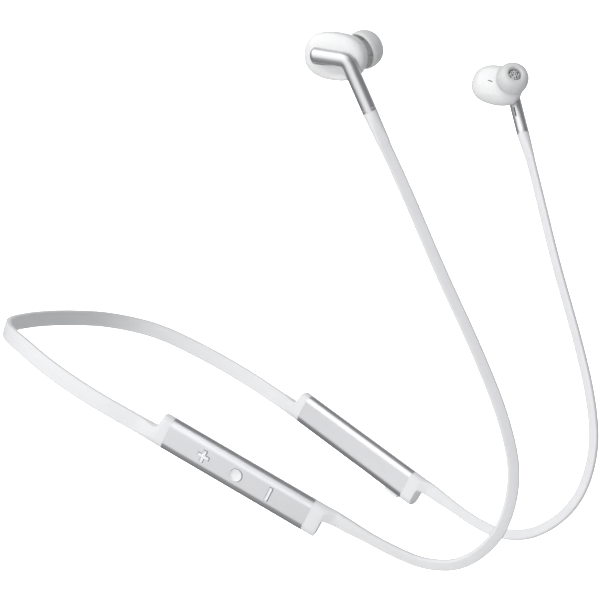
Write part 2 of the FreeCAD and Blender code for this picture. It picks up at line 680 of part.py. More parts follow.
def main():
    make_neckband_back()
    skin, strip = make_arm()
    both_sides("neckband_skin", skin)
    both_sides("neckband_strip", strip)
    make_right_module()
    right_only = set(pieces)
    make_left_module()
    for name in list(pieces):
        if name not in right_only:
            pieces[name] = mirrored(pieces[name])
    cable_start = module_frame.multVec(V(SLEEVE_LENGTH / 2 + FRONT_BOOT_LENGTH + NUB_LENGTH, 0, NUB_RISE))
    bud = make_bud()
    for side, shift, end_shift, pitch, twist in (
        ("right", V(0, 0, 0), V(0, 0, 0), 0.0, BUD_TWIST),
        ("left", LEFT_BUD_SHIFT, LEFT_END_SHIFT, LEFT_BUD_PITCH, -BUD_TWIST),
    ):
        frame = bud_frame(BUD_BEND + shift, BUD_SLOPE + pitch, twist)
        made = {name: place(shape, frame) for name, shape in bud.items()}
        stem_end = frame.multVec(stem_down * (STEM_LENGTH + RING_LENGTH))
        made["cable"], relief = make_cable(side, cable_start, CABLE_END + end_shift, stem_end)
        made["strain_relief"] = relief.cut(made["cable"]).cut(made["stem_ring"])
        made["front_boot"] = make_front_boot().cut(made["cable"])
        for name, shape in made.items():
            pieces[side + "_" + name] = shape if side == "right" else mirrored(shape)
    os.makedirs("parts", exist_ok=True)
    for name, shape in pieces.items():
        if not shape.isValid():
            print("not valid:", name)
        shape.exportStep("parts/" + name + ".step")
    whole = Part.makeCompound(list(pieces.values())).optimalBoundingBox(False)
    lengths = [round(length, 1) for length in (whole.XLength, whole.YLength, whole.ZLength)]
    print(len(pieces), "pieces, size", lengths)
    print("right flex point", back_frame.multVec(flex_point()))


main()
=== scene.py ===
import bmesh
import bpy
import json
import math
from mathutils import Matrix, Vector


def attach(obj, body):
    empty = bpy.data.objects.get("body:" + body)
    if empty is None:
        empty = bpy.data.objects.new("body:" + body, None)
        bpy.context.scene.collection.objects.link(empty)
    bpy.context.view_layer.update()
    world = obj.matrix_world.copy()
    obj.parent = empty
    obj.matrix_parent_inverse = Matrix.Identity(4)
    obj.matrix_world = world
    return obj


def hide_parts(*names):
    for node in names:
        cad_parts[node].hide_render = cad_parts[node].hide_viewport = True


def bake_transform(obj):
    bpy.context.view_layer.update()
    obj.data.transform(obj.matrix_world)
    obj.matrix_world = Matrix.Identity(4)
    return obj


# Neckband earphones, in metres. The frame is the CAD's: the origin at the middle of the neckband's
# back, +X the wearer's front, +Y the wearer's left, +Z up.
# Two-sided pieces are built for the wearer's right side (-Y) and mirrored to the left.

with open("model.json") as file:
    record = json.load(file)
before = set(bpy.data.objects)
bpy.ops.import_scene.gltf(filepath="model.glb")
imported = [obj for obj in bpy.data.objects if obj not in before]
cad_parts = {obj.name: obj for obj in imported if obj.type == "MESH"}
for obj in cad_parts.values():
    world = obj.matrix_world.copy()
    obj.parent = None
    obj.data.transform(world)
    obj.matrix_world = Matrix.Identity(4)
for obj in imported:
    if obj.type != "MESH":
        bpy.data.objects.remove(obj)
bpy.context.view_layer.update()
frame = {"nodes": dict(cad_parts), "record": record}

MIRROR = Matrix.Diagonal((1, -1, 1, 1))
WHOLE = Matrix.Identity(4)


# ---------------------------------------------------------------- camera

CAMERA_PLACE = Vector((0.406, -0.66674, 0.024))
CAMERA_FORWARD = Vector((-0.41017, 0.91173, -0.02249))
CAMERA_LENS = 120

camera = bpy.data.objects.new("camera", bpy.data.cameras.new("camera"))
camera.data.lens = CAMERA_LENS
camera.data.sensor_width = 36
camera.location = CAMERA_PLACE
camera.rotation_euler = CAMERA_FORWARD.to_track_quat("-Z", "Y").to_euler()
camera.data.clip_start = 0.01
camera.data.clip_end = 50
bpy.context.scene.collection.objects.link(camera)
bpy.context.scene.camera = camera


# ---------------------------------------------------------------- driving dimensions, as in the CAD

BACK_SLOPE = math.radians(18.2)
ARM_SLOPE = math.radians(27.6)
BACK_MIDDLE = Vector((-0.0006, 0, -0.0005))
BAND_HEIGHT = 0.0062
BAND_THICK = 0.0023
BAND_CORNER = 0.0009
BACK_RADIUS = 0.150
BACK_TURN = math.radians(11.5)
CORNER_RADIUS = 0.0335
CORNER_TURN = math.radians(51.1)
SIDE_RADIUS = 0.0812
SIDE_TURN = math.radians(36.2)
SIDE_STRAIGHT = 0.017
SLOPE_BLEND = 0.012

MODULE_CENTRE = Vector((0.1066, -0.0526, -0.0507))
MODULE_SLOPE = math.radians(28.7)
MODULE_TOE_IN = math.radians(12.7)
MODULE_LEAN = math.radians(8.0)
SLEEVE_LENGTH = 0.056
SLEEVE_HEIGHT = 0.012
SLEEVE_THICK = 0.006
SLEEVE_WALL = 0.0006
REAR_BOOT_LENGTH = 0.004
FRONT_BOOT_LENGTH = 0.005
NUB_LENGTH = 0.0045
NUB_RISE = 0.0035

KEY_PITCH = 0.013
KEY_PROUD = 0.0005
KEY_GAP = 0.00017
PLUS_ARM = 0.0043
PLUS_WIDTH = 0.0011
ROUND_KEY_RADIUS = 0.0022
MINUS_LENGTH = 0.005
MINUS_WIDTH = 0.0011

BUTTON_START = 0.0196
BUTTON_LENGTH = 0.0066
BUTTON_WIDTH = 0.0022
BUTTON_PROUD = 0.0009
PORT_START = 0.003
PORT_LENGTH = 0.0098
PORT_WIDTH = 0.0034

CABLE_WIDTH = 0.004
CABLE_THICK = 0.002
CABLE_CORNER = 0.0007
CABLE_ROUTE = [
    Vector((0.1473, -0.0440, -0.0695)),
    Vector((0.1598, -0.0410, -0.0762)),
    Vector((0.1707, -0.0392, -0.0801)),
    Vector((0.1844, -0.0406, -0.0789)),
    Vector((0.1982, -0.0439, -0.0676)),
    Vector((0.2040, -0.0462, -0.0492)),
    Vector((0.2019, -0.0502, -0.0310)),
    Vector((0.1945, -0.0563, -0.0078)),
    Vector((0.1834, -0.0645, 0.0205)),
    Vector((0.1751, -0.0716, 0.0450)),
]
CABLE_END = Vector((0.1696, -0.0760, 0.0592))
LEFT_BUD_SHIFT = Vector((0.001, 0, 0.0022))
LEFT_END_SHIFT = Vector((-0.0001, 0, 0.002))
LEFT_BUD_PITCH = math.radians(4.5)
BUD_TWIST = math.radians(4.0)

BUD_BEND = Vector((0.1593, -0.0819, 0.0857))
BUD_SLOPE = math.radians(10.5)
BUD_LEAN = math.radians(13.0)
BAR_LENGTH = 0.010
BAR_RADIUS = 0.00245
BEND_RADIUS = 0.0032
STEM_LENGTH = 0.017
STEM_RAKE = math.radians(31.4)
RING_LENGTH = 0.0009
RELIEF_RADIUS = 0.0024
SHELL_LENGTH = 0.0206
SHELL_HEIGHT = 0.0155
SHELL_DEPTH = 0.0074
SHELL_CENTRE = Vector((-0.0056, 0.0037, -0.0001))
TIP_CENTRE = Vector((0.0012, 0.0106, 0.0020))
NOZZLE_AXIS = Vector((0.36, 0.88, 0.31)).normalized()
TIP_RADIUS = 0.00635
TIP_TOP = 0.0050
SKIRT_BACK = 0.0014
NOZZLE_FRONT = 0.0036
STEM_VENT_START = 0.0071
STEM_VENT_LENGTH = 0.0039
STEM_VENT_WIDTH = 0.0005
STEM_VENT_TURN = math.radians(-17)


# ---------------------------------------------------------------- frames

def frame_at(origin, x_axis, z_axis):
    """A frame from its origin, its x axis and the way its z axis leans."""
    x_axis = Vector(x_axis).normalized()
    y_axis = Vector(z_axis).cross(x_axis).normalized()
    z_axis = x_axis.cross(y_axis)
    made = Matrix((x_axis, y_axis, z_axis)).transposed().to_4x4()
    made.translation = origin
    return made


def module_frame():
    """The right module's frame: x forward along it, y towards the neck, z up its height."""
    axis = Vector((
        math.cos(MODULE_SLOPE) * math.cos(MODULE_TOE_IN),
        math.cos(MODULE_SLOPE) * math.sin(MODULE_TOE_IN),
        -math.sin(MODULE_SLOPE),
    ))
    upright = Vector((
        math.sin(MODULE_SLOPE) * math.cos(MODULE_TOE_IN),
        math.sin(MODULE_SLOPE) * math.sin(MODULE_TOE_IN),
        math.cos(MODULE_SLOPE),
    ))
    outward = axis.cross(upright)
    return frame_at(MODULE_CENTRE, axis, upright * math.cos(MODULE_LEAN) + outward * math.sin(MODULE_LEAN))


def bud_frame(side):
    """The bud's frame at its stem's bend; the left one is given before it is mirrored."""
    left = side == "left"
    slope = BUD_SLOPE + (LEFT_BUD_PITCH if left else 0)
    twist = -BUD_TWIST if left else BUD_TWIST
    upright = Vector((math.sin(slope), 0, math.cos(slope)))
    height = upright * math.cos(BUD_LEAN) - Vector((0, 1, 0)) * math.sin(BUD_LEAN)
    made = frame_at(Vector((0, 0, 0)), Vector((math.cos(slope), 0, -math.sin(slope))), height)
    place = BUD_BEND + (LEFT_BUD_SHIFT if left else Vector((0, 0, 0)))
    return Matrix.Translation(place) @ Matrix.Rotation(twist, 4, "Z") @ made


MODULE = module_frame()
STEM_DOWN = Vector((math.sin(STEM_RAKE), 0, -math.cos(STEM_RAKE)))
SIDE_PLACES = {"right": WHOLE, "left": MIRROR}
BUD_FRAMES = {side: SIDE_PLACES[side] @ bud_frame(side) for side in SIDE_PLACES}
MODULE_FRAMES = {side: SIDE_PLACES[side] @ MODULE for side in SIDE_PLACES}


# ---------------------------------------------------------------- procedural materials

def new_material(name):
    """A material with its nodes, its links and its shader."""
    material = bpy.data.materials.new(name)
    material.use_nodes = True
    nodes = material.node_tree.nodes
    shader = nodes["Principled BSDF"]
    return material, nodes, material.node_tree.links, shader


COAT_ROUGHNESS = 0.08
GRAIN_DEPTH = 0.00002


def finish_material(name, light, dark, rough, grain, bump, metallic=0.0, coat=0.0,
                    stretch=(1, 1, 1), patch=60, clear=0.0):
    """A surface whose colour, roughness and fine relief all vary: broad patches and a fine grain."""
    material, nodes, links, shader = new_material(name)
    place = nodes.new("ShaderNodeTexCoord")
    scale = nodes.new("ShaderNodeMapping")
    scale.inputs["Scale"].default_value = stretch
    links.new(place.outputs["Object"], scale.inputs["Vector"])
    broad = nodes.new("ShaderNodeTexNoise")
    broad.inputs["Scale"].default_value = patch
    broad.inputs["Detail"].default_value = 3
    fine = nodes.new("ShaderNodeTexNoise")
    fine.inputs["Scale"].default_value = grain
    fine.inputs["Detail"].default_value = 2
    fine.inputs["Roughness"].default_value = 0.6
    links.new(scale.outputs["Vector"], broad.inputs["Vector"])
    links.new(scale.outputs["Vector"], fine.inputs["Vector"])
    mixed = nodes.new("ShaderNodeMath")
    mixed.operation = "MULTIPLY_ADD"
    mixed.inputs[1].default_value = 0.5
    links.new(fine.outputs["Fac"], mixed.inputs[0])
    half = nodes.new("ShaderNodeMath")
    half.operation = "MULTIPLY"
    half.inputs[1].default_value = 0.5
    links.new(broad.outputs["Fac"], half.inputs[0])
    links.new(half.outputs["Value"], mixed.inputs[2])
    ramp = nodes.new("ShaderNodeValToRGB")
    ramp.color_ramp.elements[0].position = 0.3
    ramp.color_ramp.elements[0].color = (*dark, 1)
    ramp.color_ramp.elements[1].position = 0.7
    ramp.color_ramp.elements[1].color = (*light, 1)
    links.new(mixed.outputs["Value"], ramp.inputs["Fac"])
    links.new(ramp.outputs["Color"], shader.inputs["Base Color"])
    shine = nodes.new("ShaderNodeMapRange")
    shine.inputs["From Min"].default_value = 0.3
    shine.inputs["From Max"].default_value = 0.7
    shine.inputs["To Min"].default_value = rough[0]
    shine.inputs["To Max"].default_value = rough[1]
    links.new(mixed.outputs["Value"], shine.inputs["Value"])
    links.new(shine.outputs["Result"], shader.inputs["Roughness"])
    relief = nodes.new("ShaderNodeBump")
    relief.inputs["Strength"].default_value = bump
    relief.inputs["Distance"].default_value = GRAIN_DEPTH
    links.new(fine.outputs["Fac"], relief.inputs["Height"])
    links.new(relief.outputs["Normal"], shader.inputs["Normal"])
    shader.inputs["Metallic"].default_value = metallic
    shader.inputs["Coat Weight"].default_value = coat
    shader.inputs["Coat Roughness"].default_value = COAT_ROUGHNESS
    shader.inputs["Transmission Weight"].default_value = clear
    return material


def grey(value, blue=0.0):
    """A neutral colour, or one with a little more blue."""
    return (value, value, min(1.0, value + blue))


MATERIALS = {
    "white_silicone": finish_material(
        "white_silicone", grey(0.84, 0.01), grey(0.80, 0.01), (0.42, 0.55), 2600, 0.35, patch=90),
    "white_cable": finish_material(
        "white_cable", grey(0.83, 0.008), grey(0.79, 0.008), (0.45, 0.6), 2200, 0.12, patch=70),
    "grey_silicone": finish_material(
        "grey_silicone", grey(0.88), grey(0.83), (0.35, 0.5), 1800, 0.3, patch=120, clear=0.18),
    # Painted shade: the neck's near-black colour stands in for the shadow inside the tip's skirt.
    "core_silicone_painted_shade": finish_material(
        "core_silicone_painted_shade", grey(0.19), grey(0.15), (0.4, 0.5), 1800, 0.3, patch=120),
    "anodised_aluminium": finish_material(
        "anodised_aluminium", grey(0.72, 0.014), grey(0.68, 0.014), (0.32, 0.40), 9000, 0.5,
        metallic=1.0, patch=140),
    "stem_metal": finish_material(
        "stem_metal", grey(0.72, 0.008), grey(0.68, 0.008), (0.36, 0.44), 7000, 0.35,
        metallic=1.0, patch=160),
    "shell_gloss": finish_material(
        "shell_gloss", grey(0.88), grey(0.85), (0.22, 0.32), 1500, 0.12, coat=0.5, patch=80),
    "key_gloss": finish_material(
        "key_gloss", grey(0.90, 0.01), grey(0.86, 0.01), (0.3, 0.38), 3000, 0.2, coat=0.3, patch=150),
    "spring_steel": finish_material(
        "spring_steel", grey(0.55), grey(0.45), (0.3, 0.45), 4000, 0.4, metallic=1.0, stretch=(1, 1, 6)),
    "inner_plastic": finish_material(
        "inner_plastic", grey(0.06), grey(0.03), (0.5, 0.65), 2000, 0.4),
    "circuit_board": finish_material(
        "circuit_board", (0.03, 0.16, 0.08), (0.015, 0.09, 0.045), (0.35, 0.5), 1500, 0.4, patch=400),
    "shield_can": finish_material(
        "shield_can", grey(0.66), grey(0.56), (0.28, 0.4), 2500, 0.3, metallic=1.0),
    "battery_foil": finish_material(
        "battery_foil", grey(0.62), grey(0.52), (0.3, 0.42), 1200, 0.6, metallic=1.0),
    "driver_steel": finish_material(
        "driver_steel", grey(0.42), grey(0.34), (0.3, 0.4), 3000, 0.3, metallic=1.0),
    # Near-black film behind the vent slots: partly their damper mesh, partly painted shade deep in the
    # slots.
    "dark_film": finish_material(
        "dark_film", grey(0.05), grey(0.025), (0.4, 0.55), 2400, 0.3),
}


MESH_CELLS = 1500
MESH_DEPTH = 0.0001


def mesh_material():
    """Woven wire: a fine grid of dark pores in pale wire."""
    material, nodes, links, shader = new_material("fine_mesh")
    place = nodes.new("ShaderNodeTexCoord")
    cells = nodes.new("ShaderNodeTexVoronoi")
    cells.inputs["Scale"].default_value = MESH_CELLS
    cells.inputs["Randomness"].default_value = 0.35
    links.new(place.outputs["Object"], cells.inputs["Vector"])
    ramp = nodes.new("ShaderNodeValToRGB")
    ramp.color_ramp.elements[0].position = 0.36
    ramp.color_ramp.elements[0].color = (0.02, 0.02, 0.022, 1)
    ramp.color_ramp.elements[1].position = 0.5
    ramp.color_ramp.elements[1].color = (0.8, 0.8, 0.81, 1)
    links.new(cells.outputs["Distance"], ramp.inputs["Fac"])
    links.new(ramp.outputs["Color"], shader.inputs["Base Color"])
    shine = nodes.new("ShaderNodeMapRange")
    shine.inputs["To Min"].default_value = 0.7
    shine.inputs["To Max"].default_value = 0.35
    links.new(cells.outputs["Distance"], shine.inputs["Value"])
    links.new(shine.outputs["Result"], shader.inputs["Roughness"])
    relief = nodes.new("ShaderNodeBump")
    relief.inputs["Strength"].default_value = 0.8
    relief.inputs["Distance"].default_value = MESH_DEPTH
    links.new(cells.outputs["Distance"], relief.inputs["Height"])
    links.new(relief.outputs["Normal"], shader.inputs["Normal"])
    shader.inputs["Metallic"].default_value = 0.4
    return material


MATERIALS["fine_mesh"] = mesh_material()


# ---------------------------------------------------------------- mesh helpers

def smooth(value):
    """An easing from 0 to 1 that starts and ends level."""
    value = min(max(value, 0.0), 1.0)
    return value * value * (3 - 2 * value)


def outline(thick, height, corner, steps=8):
    """A rounded rectangle in (y, z); with the corner half of thick it is a stadium or a circle."""
    points = []
    for quarter, (sign_y, sign_z) in enumerate(((1, 1), (-1, 1), (-1, -1), (1, -1))):
        centre_y = sign_y * (thick / 2 - corner)
        centre_z = sign_z * (height / 2 - corner)
        for step in range(steps + 1):
            angle = (quarter + step / steps) * math.pi / 2
            points.append((centre_y + corner * math.cos(angle), centre_z + corner * math.sin(angle)))
    return points


def ring_at(place, section):
    """A section's points in the row frame; place's x axis is the way along."""
    return [place @ Vector((0, y, z)) for y, z in section]


def loft(rings, closed=False):
    """Quads between rings of equal count, with a face across each end or joined up into a loop."""
    count = len(rings[0])
    verts = [point for ring in rings for point in ring]
    faces = []
    for row in range(len(rings) if closed else len(rings) - 1):
        first = row * count
        second = ((row + 1) % len(rings)) * count
        for i in range(count):
            j = (i + 1) % count
            faces.append((first + i, first + j, second + j, second + i))
    if not closed:
        last = (len(rings) - 1) * count
        faces.append(tuple(range(count))[::-1])
        faces.append(tuple(range(last, last + count)))
    return verts, faces


def turned(profile, place, count=48):
    """A closed profile of (radius, along) turned about place's x axis."""
    rings = []
    for step in range(count):
        angle = 2 * math.pi * step / count
        rings.append([
            place @ Vector((along, radius * math.cos(angle), radius * math.sin(angle)))
            for radius, along in profile
        ])
    return loft(rings, closed=True)


def build(name, shape, slot_name, sharp=32, place=WHOLE, bevel=0.0, bevel_steps=2, cutters=()):
    """An object from vertices and faces, with its faces turned outward, edges eased and openings cut."""
    verts, faces = shape
    mesh = bpy.data.meshes.new(name)
    mesh.from_pydata([place @ v for v in verts], [], faces)
    work = bmesh.new()
    work.from_mesh(mesh)
    bmesh.ops.remove_doubles(work, verts=work.verts, dist=1e-7)
    bmesh.ops.recalc_face_normals(work, faces=work.faces)
    work.to_mesh(mesh)
    work.free()
    obj = bpy.data.objects.new(name, mesh)
    bpy.context.scene.collection.objects.link(obj)
    obj.data.materials.append(MATERIALS[slot_name])
    for cutter in cutters:
        cut = obj.modifiers.new("cut", "BOOLEAN")
        cut.operation = "DIFFERENCE"
        cut.solver = "EXACT"
        cut.object = cutter
    if bevel:
        ease = obj.modifiers.new("ease", "BEVEL")
        ease.width = bevel
        ease.segments = bevel_steps
        ease.limit_method = "ANGLE"
        ease.angle_limit = math.radians(40)
    if cutters or bevel:
        bake_modifiers(obj)
    for polygon in obj.data.polygons:
        polygon.use_smooth = True
    obj.data.set_sharp_from_angle(angle=math.radians(sharp))
    if cutters or bevel:
        weigh = obj.modifiers.new("weigh", "WEIGHTED_NORMAL")
        weigh.keep_sharp = True
        weigh.weight = 100
        bake_modifiers(obj)
    return obj


def bake_modifiers(obj):
    """Turns an object's modifiers into its mesh."""
    graph = bpy.context.evaluated_depsgraph_get()
    final = bpy.data.meshes.new_from_object(obj.evaluated_get(graph))
    obj.modifiers.clear()
    obj.data = final


def discard(objects):
    for obj in objects:
        bpy.data.objects.remove(obj)


def settle(obj, body, slot_name, *nodes):
    """Ties a drawn piece to its body and hides the CAD nodes it replaces; slot_name is not used."""
    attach(obj, body)
    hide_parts(*nodes)
    return obj


# ---------------------------------------------------------------- cables

def cable_route(side):
    """The points that steer one side's cable, from the module's nub to the strain relief."""
    start = MODULE @ Vector((SLEEVE_LENGTH / 2 + FRONT_BOOT_LENGTH + NUB_LENGTH, 0, NUB_RISE))
    end = CABLE_END + (LEFT_END_SHIFT if side == "left" else Vector((0, 0, 0)))
    return [SIDE_PLACES[side] @ point for point in [start, *CABLE_ROUTE, end]]


def cable_line(name, route):
    """The points along the smooth curve that the route controls."""
    curve = bpy.data.curves.new(name, "CURVE")
    curve.dimensions = "3D"
    spline = curve.splines.new("NURBS")
    spline.points.add(len(route) - 1)
    for point, place in zip(spline.points, route):
        point.co = (*place, 1)
    spline.order_u = 3
    spline.use_endpoint_u = True
    spline.resolution_u = 16
    holder = bpy.data.objects.new(name, curve)
    bpy.context.scene.collection.objects.link(holder)
    line = bpy.data.meshes.new_from_object(holder)
    points = [v.co.copy() for v in line.vertices]
    bpy.data.objects.remove(holder)
    return points


CABLE_LEAN_START = math.radians(8)
CABLE_LEAN = math.radians(27)
LEAN_DONE = 0.3     # the share of the cable's length over which the lean grows


def cable_frames(points, side):
    """A frame at each point: x along, z across the flat cable's width, leaning as the cable rises."""
    sign = 1 if side == "left" else -1
    frames = []
    travelled = 0.0
    total = sum((b - a).length for a, b in zip(points, points[1:]))
    for index, point in enumerate(points):
        before = points[max(index - 1, 0)]
        after = points[min(index + 1, len(points) - 1)]
        along = (after - before).normalized()
        if index:
            travelled += (point - points[index - 1]).length
        share = smooth(travelled / total / LEAN_DONE)
        lean = CABLE_LEAN_START + (CABLE_LEAN - CABLE_LEAN_START) * share
        away = Vector((along.z, 0, -along.x)).normalized()
        face = Vector((0, sign, 0)) * math.cos(lean) + away * math.sin(lean)
        frames.append(frame_at(point, along, along.cross(face)))
    return frames


MOUTH_WIDTH = 0.0051
MOUTH_THICK = 0.0024
MOUTH_TAPER = 0.014


def cable_section(travelled):
    """The flat cable's section, which is fuller where it leaves the module's boot."""
    share = smooth(1 - travelled / MOUTH_TAPER)
    width = CABLE_WIDTH + (MOUTH_WIDTH - CABLE_WIDTH) * share
    thick = CABLE_THICK + (MOUTH_THICK - CABLE_THICK) * share
    return outline(thick, width, CABLE_CORNER, 5)


cable_ends = {}
for side in SIDE_PLACES:
    route = cable_route(side)
    points = cable_line(side + "_cable_line", route)
    frames = cable_frames(points, side)
    cable_ends[side] = frames[-1]
    rings = []
    travelled = 0.0
    for before, place in zip([frames[0], *frames], frames):
        travelled += (place.translation - before.translation).length
        rings.append(ring_at(place, cable_section(travelled)))
    cable = build(side + "_cable_skin", loft(rings), "white_cable")
    settle(cable, side + "_arm", "white_cable", side + "_cable")


# ---------------------------------------------------------------- neckband with its rear boots

BAND_STRIDE = 0.0005


def band_stations():
    """Centre, heading and slope along the right half, from the back's middle to the boot."""
    stretches = (
        (BACK_RADIUS, BACK_TURN, BACK_RADIUS * BACK_TURN),
        (CORNER_RADIUS, CORNER_TURN, CORNER_RADIUS * CORNER_TURN),
        (SIDE_RADIUS, SIDE_TURN, SIDE_RADIUS * SIDE_TURN),
        (None, 0.0, SIDE_STRAIGHT),
    )
    flex_at = stretches[0][2] + stretches[1][2]
    point = BACK_MIDDLE.copy()
    heading = 0.0
    travelled = 0.0
    stations = []
    for radius, turn, length in stretches:
        count = round(length / BAND_STRIDE)
        for _ in range(count):
            share = smooth((travelled - flex_at) / SLOPE_BLEND / 2 + 0.5)
            slope = BACK_SLOPE + (ARM_SLOPE - BACK_SLOPE) * share
            stations.append((point.copy(), heading, slope))
            stride = length / count
            middle = heading + turn / count / 2
            point += stride * Vector((
                math.sin(middle) * math.cos(slope),
                -math.cos(middle),
                -math.sin(middle) * math.sin(slope),
            ))
            heading += turn / count
            travelled += stride
    return stations


def band_frame(point, heading, slope):
    """A frame on the band's line: x along it, z up its height."""
    along = Vector((
        math.sin(heading) * math.cos(slope), -math.cos(heading), -math.sin(heading) * math.sin(slope)))
    up = Vector((math.sin(slope), 0, math.cos(slope)))
    return frame_at(point, along, up)


def step_profile(height, fillet, rounding, far_end):
    """How a boot steps up from what enters it, as (depth past its face, share of the step's height):
    a concave fillet before the face, the face itself, then a rounding, and on to the far end."""
    steps = []
    for k in range(11):
        angle = k * math.pi / 20
        steps.append((fillet * (math.sin(angle) - 1), fillet / height * (1 - math.cos(angle))))
    for k in range(11):
        angle = k * math.pi / 20
        steps.append((rounding * (1 - math.cos(angle)), 1 - rounding / height * (1 - math.sin(angle))))
    steps.append((far_end, 1.0))
    return steps


REAR_STEP = step_profile(height=0.0058, fillet=0.0019, rounding=0.0013, far_end=REAR_BOOT_LENGTH)
FRONT_STEP = step_profile(height=0.0069, fillet=0.0009, rounding=0.0007, far_end=FRONT_BOOT_LENGTH)
REAR_SWELL = 0.009
REAR_SWELL_GAP = 0.0012
FRONT_SWELL = 0.0012


def meet_plane(point, direction, x_value):
    """Slides a point of the module's frame along a direction to where its x is a value."""
    return point + direction * ((x_value - point.x) / direction.x)


def band_half():
    """The right half of the ribbon, swelling into the rear boot."""
    stations = band_stations()
    section = outline(BAND_THICK, BAND_HEIGHT, BAND_CORNER)
    boot_section = outline(SLEEVE_THICK, SLEEVE_HEIGHT, SLEEVE_THICK / 2)
    rear = -SLEEVE_LENGTH / 2 - REAR_BOOT_LENGTH
    to_module = MODULE.inverted()
    rings = []
    for index, (point, heading, slope) in enumerate(stations):
        place = band_frame(point, heading, slope)
        if (to_module @ point).x > rear - REAR_SWELL - REAR_SWELL_GAP:
            break
        last = place
        if index % 3 == 0:
            rings.append(ring_at(place, section))
    ribbon = [to_module @ p for p in ring_at(last, section)]
    direction = to_module.to_3x3() @ last.to_3x3().col[0]
    lead = [(-REAR_SWELL + BAND_STRIDE * k, 0.0) for k in range(14)]
    for depth, share in lead + REAR_STEP:
        swell = smooth((depth + REAR_SWELL) / (REAR_SWELL + REAR_BOOT_LENGTH / 2))
        ring = []
        for point, (y, z) in zip(ribbon, boot_section):
            slid = meet_plane(point, direction, rear + depth)
            rise = share if z > 0 else swell
            ring.append(MODULE @ Vector((
                rear + depth,
                slid.y + (y - slid.y) * swell,
                slid.z + (z - slid.z) * rise,
            )))
        rings.append(ring)
    return loft(rings)


half_band = band_half()
for side in SIDE_PLACES:
    band = build(side + "_neckband", half_band, "white_silicone", place=SIDE_PLACES[side])
    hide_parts("neckband_back_skin", side + "_neckband_skin")
    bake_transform(band)


# ---------------------------------------------------------------- front boots

NUB_WIDTH = 0.0054
NUB_LIP = 0.00004
NUB_ROOT = 0.0009
NUB_STRIDE = 0.0004


def front_boot():
    """The cap at the module's front: its upper edge runs on into the nub that the cable leaves by, and
    its lower edge steps up to it."""
    face = SLEEVE_LENGTH / 2 + FRONT_BOOT_LENGTH
    boot_section = outline(SLEEVE_THICK, SLEEVE_HEIGHT, SLEEVE_THICK / 2)
    mouth = outline(MOUTH_THICK + NUB_LIP, MOUTH_WIDTH + NUB_LIP, CABLE_CORNER)
    nub_low = SLEEVE_HEIGHT / 2 - NUB_WIDTH
    stations = [(-depth, share) for depth, share in reversed(FRONT_STEP)]
    stations += [(NUB_ROOT + NUB_STRIDE * k, 0.0) for k in range(1, 9)]
    stations.append((NUB_LENGTH, 0.0))
    rings = []
    for ahead, share in stations:
        taper = smooth((ahead + FRONT_SWELL) / (NUB_LENGTH + FRONT_SWELL))
        lower = max(ahead, 0.0) / NUB_LENGTH
        ring = []
        for (boot_y, boot_z), (y, z) in zip(boot_section, mouth):
            if z > 0:
                height = boot_z + (z + NUB_RISE - boot_z) * taper
            else:
                root = nub_low + (z + MOUTH_WIDTH / 2)
                nub_z = root + (z + NUB_RISE - root) * lower
                height = nub_z + (boot_z - nub_z) * share
            ring.append(Vector((face + ahead, boot_y + (y - boot_y) * taper, height)))
        rings.append(ring)
    return loft(rings)


for side in SIDE_PLACES:
    boot = build(side + "_front_cap", front_boot(), "white_silicone", place=MODULE_FRAMES[side])
    settle(boot, side + "_arm", "white_silicone", side + "_front_boot")


# ---------------------------------------------------------------- aluminium sleeves

MINUS_CORNER = 0.0003
KEY_CUT_OUT = -0.004
KEY_CUT_IN = -0.0022
EDGE_CUT_OUT = 0.001
EDGE_CUT_IN = 0.0015


def prism(points, near, far):
    """A solid between two depths (y) from an outline of (x, z) points."""
    rings = [[Vector((x, depth, z)) for x, z in points] for depth in (near, far)]
    return loft(rings)


def pillar(points, low, high):
    """A solid between two heights (z) from an outline of (x, y) points."""
    rings = [[Vector((x, y, z)) for x, y in points] for z in (low, high)]
    return loft(rings)


def plus_points(grow):
    """The plus sign's outline, larger all round by an amount."""
    arm = PLUS_ARM / 2 + grow
    half = PLUS_WIDTH / 2 + grow
    return [
        (-half, -arm), (half, -arm), (half, -half), (arm, -half), (arm, half), (half, half),
        (half, arm), (-half, arm), (-half, half), (-arm, half), (-arm, -half), (-half, -half),
    ]


def round_points(grow):
    radius = ROUND_KEY_RADIUS + grow
    return [(radius * math.cos(k * math.pi / 24), radius * math.sin(k * math.pi / 24)) for k in range(48)]


def minus_points(grow):
    return outline(MINUS_WIDTH + 2 * grow, MINUS_LENGTH + 2 * grow, MINUS_CORNER, 4)


KEY_OUTLINES = {"plus": plus_points, "round": round_points, "minus": minus_points}
KEY_PLACES = {
    kind: MODULE @ Matrix.Translation(Vector(((index - 1) * KEY_PITCH, 0, 0)))
    for index, kind in enumerate(KEY_OUTLINES)
}


SLEEVE_EASE = 0.00005
SLEEVE_STEPS = 16
PORT_GAP = 0.00015


def tube():
    """A stadium tube with eased ends, as a closed loft that runs out along the skin and back inside."""
    half = SLEEVE_LENGTH / 2
    ease = SLEEVE_EASE
    stations = (
        (-half + ease, 0), (-half / 2, 0), (0, 0), (half / 2, 0), (half - ease, 0), (half, ease),
        (half, SLEEVE_WALL), (-half, SLEEVE_WALL), (-half, ease),
    )
    rings = []
    for x_value, inset in stations:
        thick = SLEEVE_THICK - 2 * inset
        section = outline(thick, SLEEVE_HEIGHT - 2 * inset, thick / 2, SLEEVE_STEPS)
        rings.append([Vector((x_value, y, z)) for y, z in section])
    return loft(rings, closed=True)


def key_cutters():
    """Openings in the right sleeve's outer face, one round each key."""
    cutters = []
    for kind, points in KEY_OUTLINES.items():
        shape = prism(points(KEY_GAP), KEY_CUT_OUT, KEY_CUT_IN)
        cutters.append(build(kind + "_cutter", shape, "inner_plastic", place=KEY_PLACES[kind]))
    return cutters


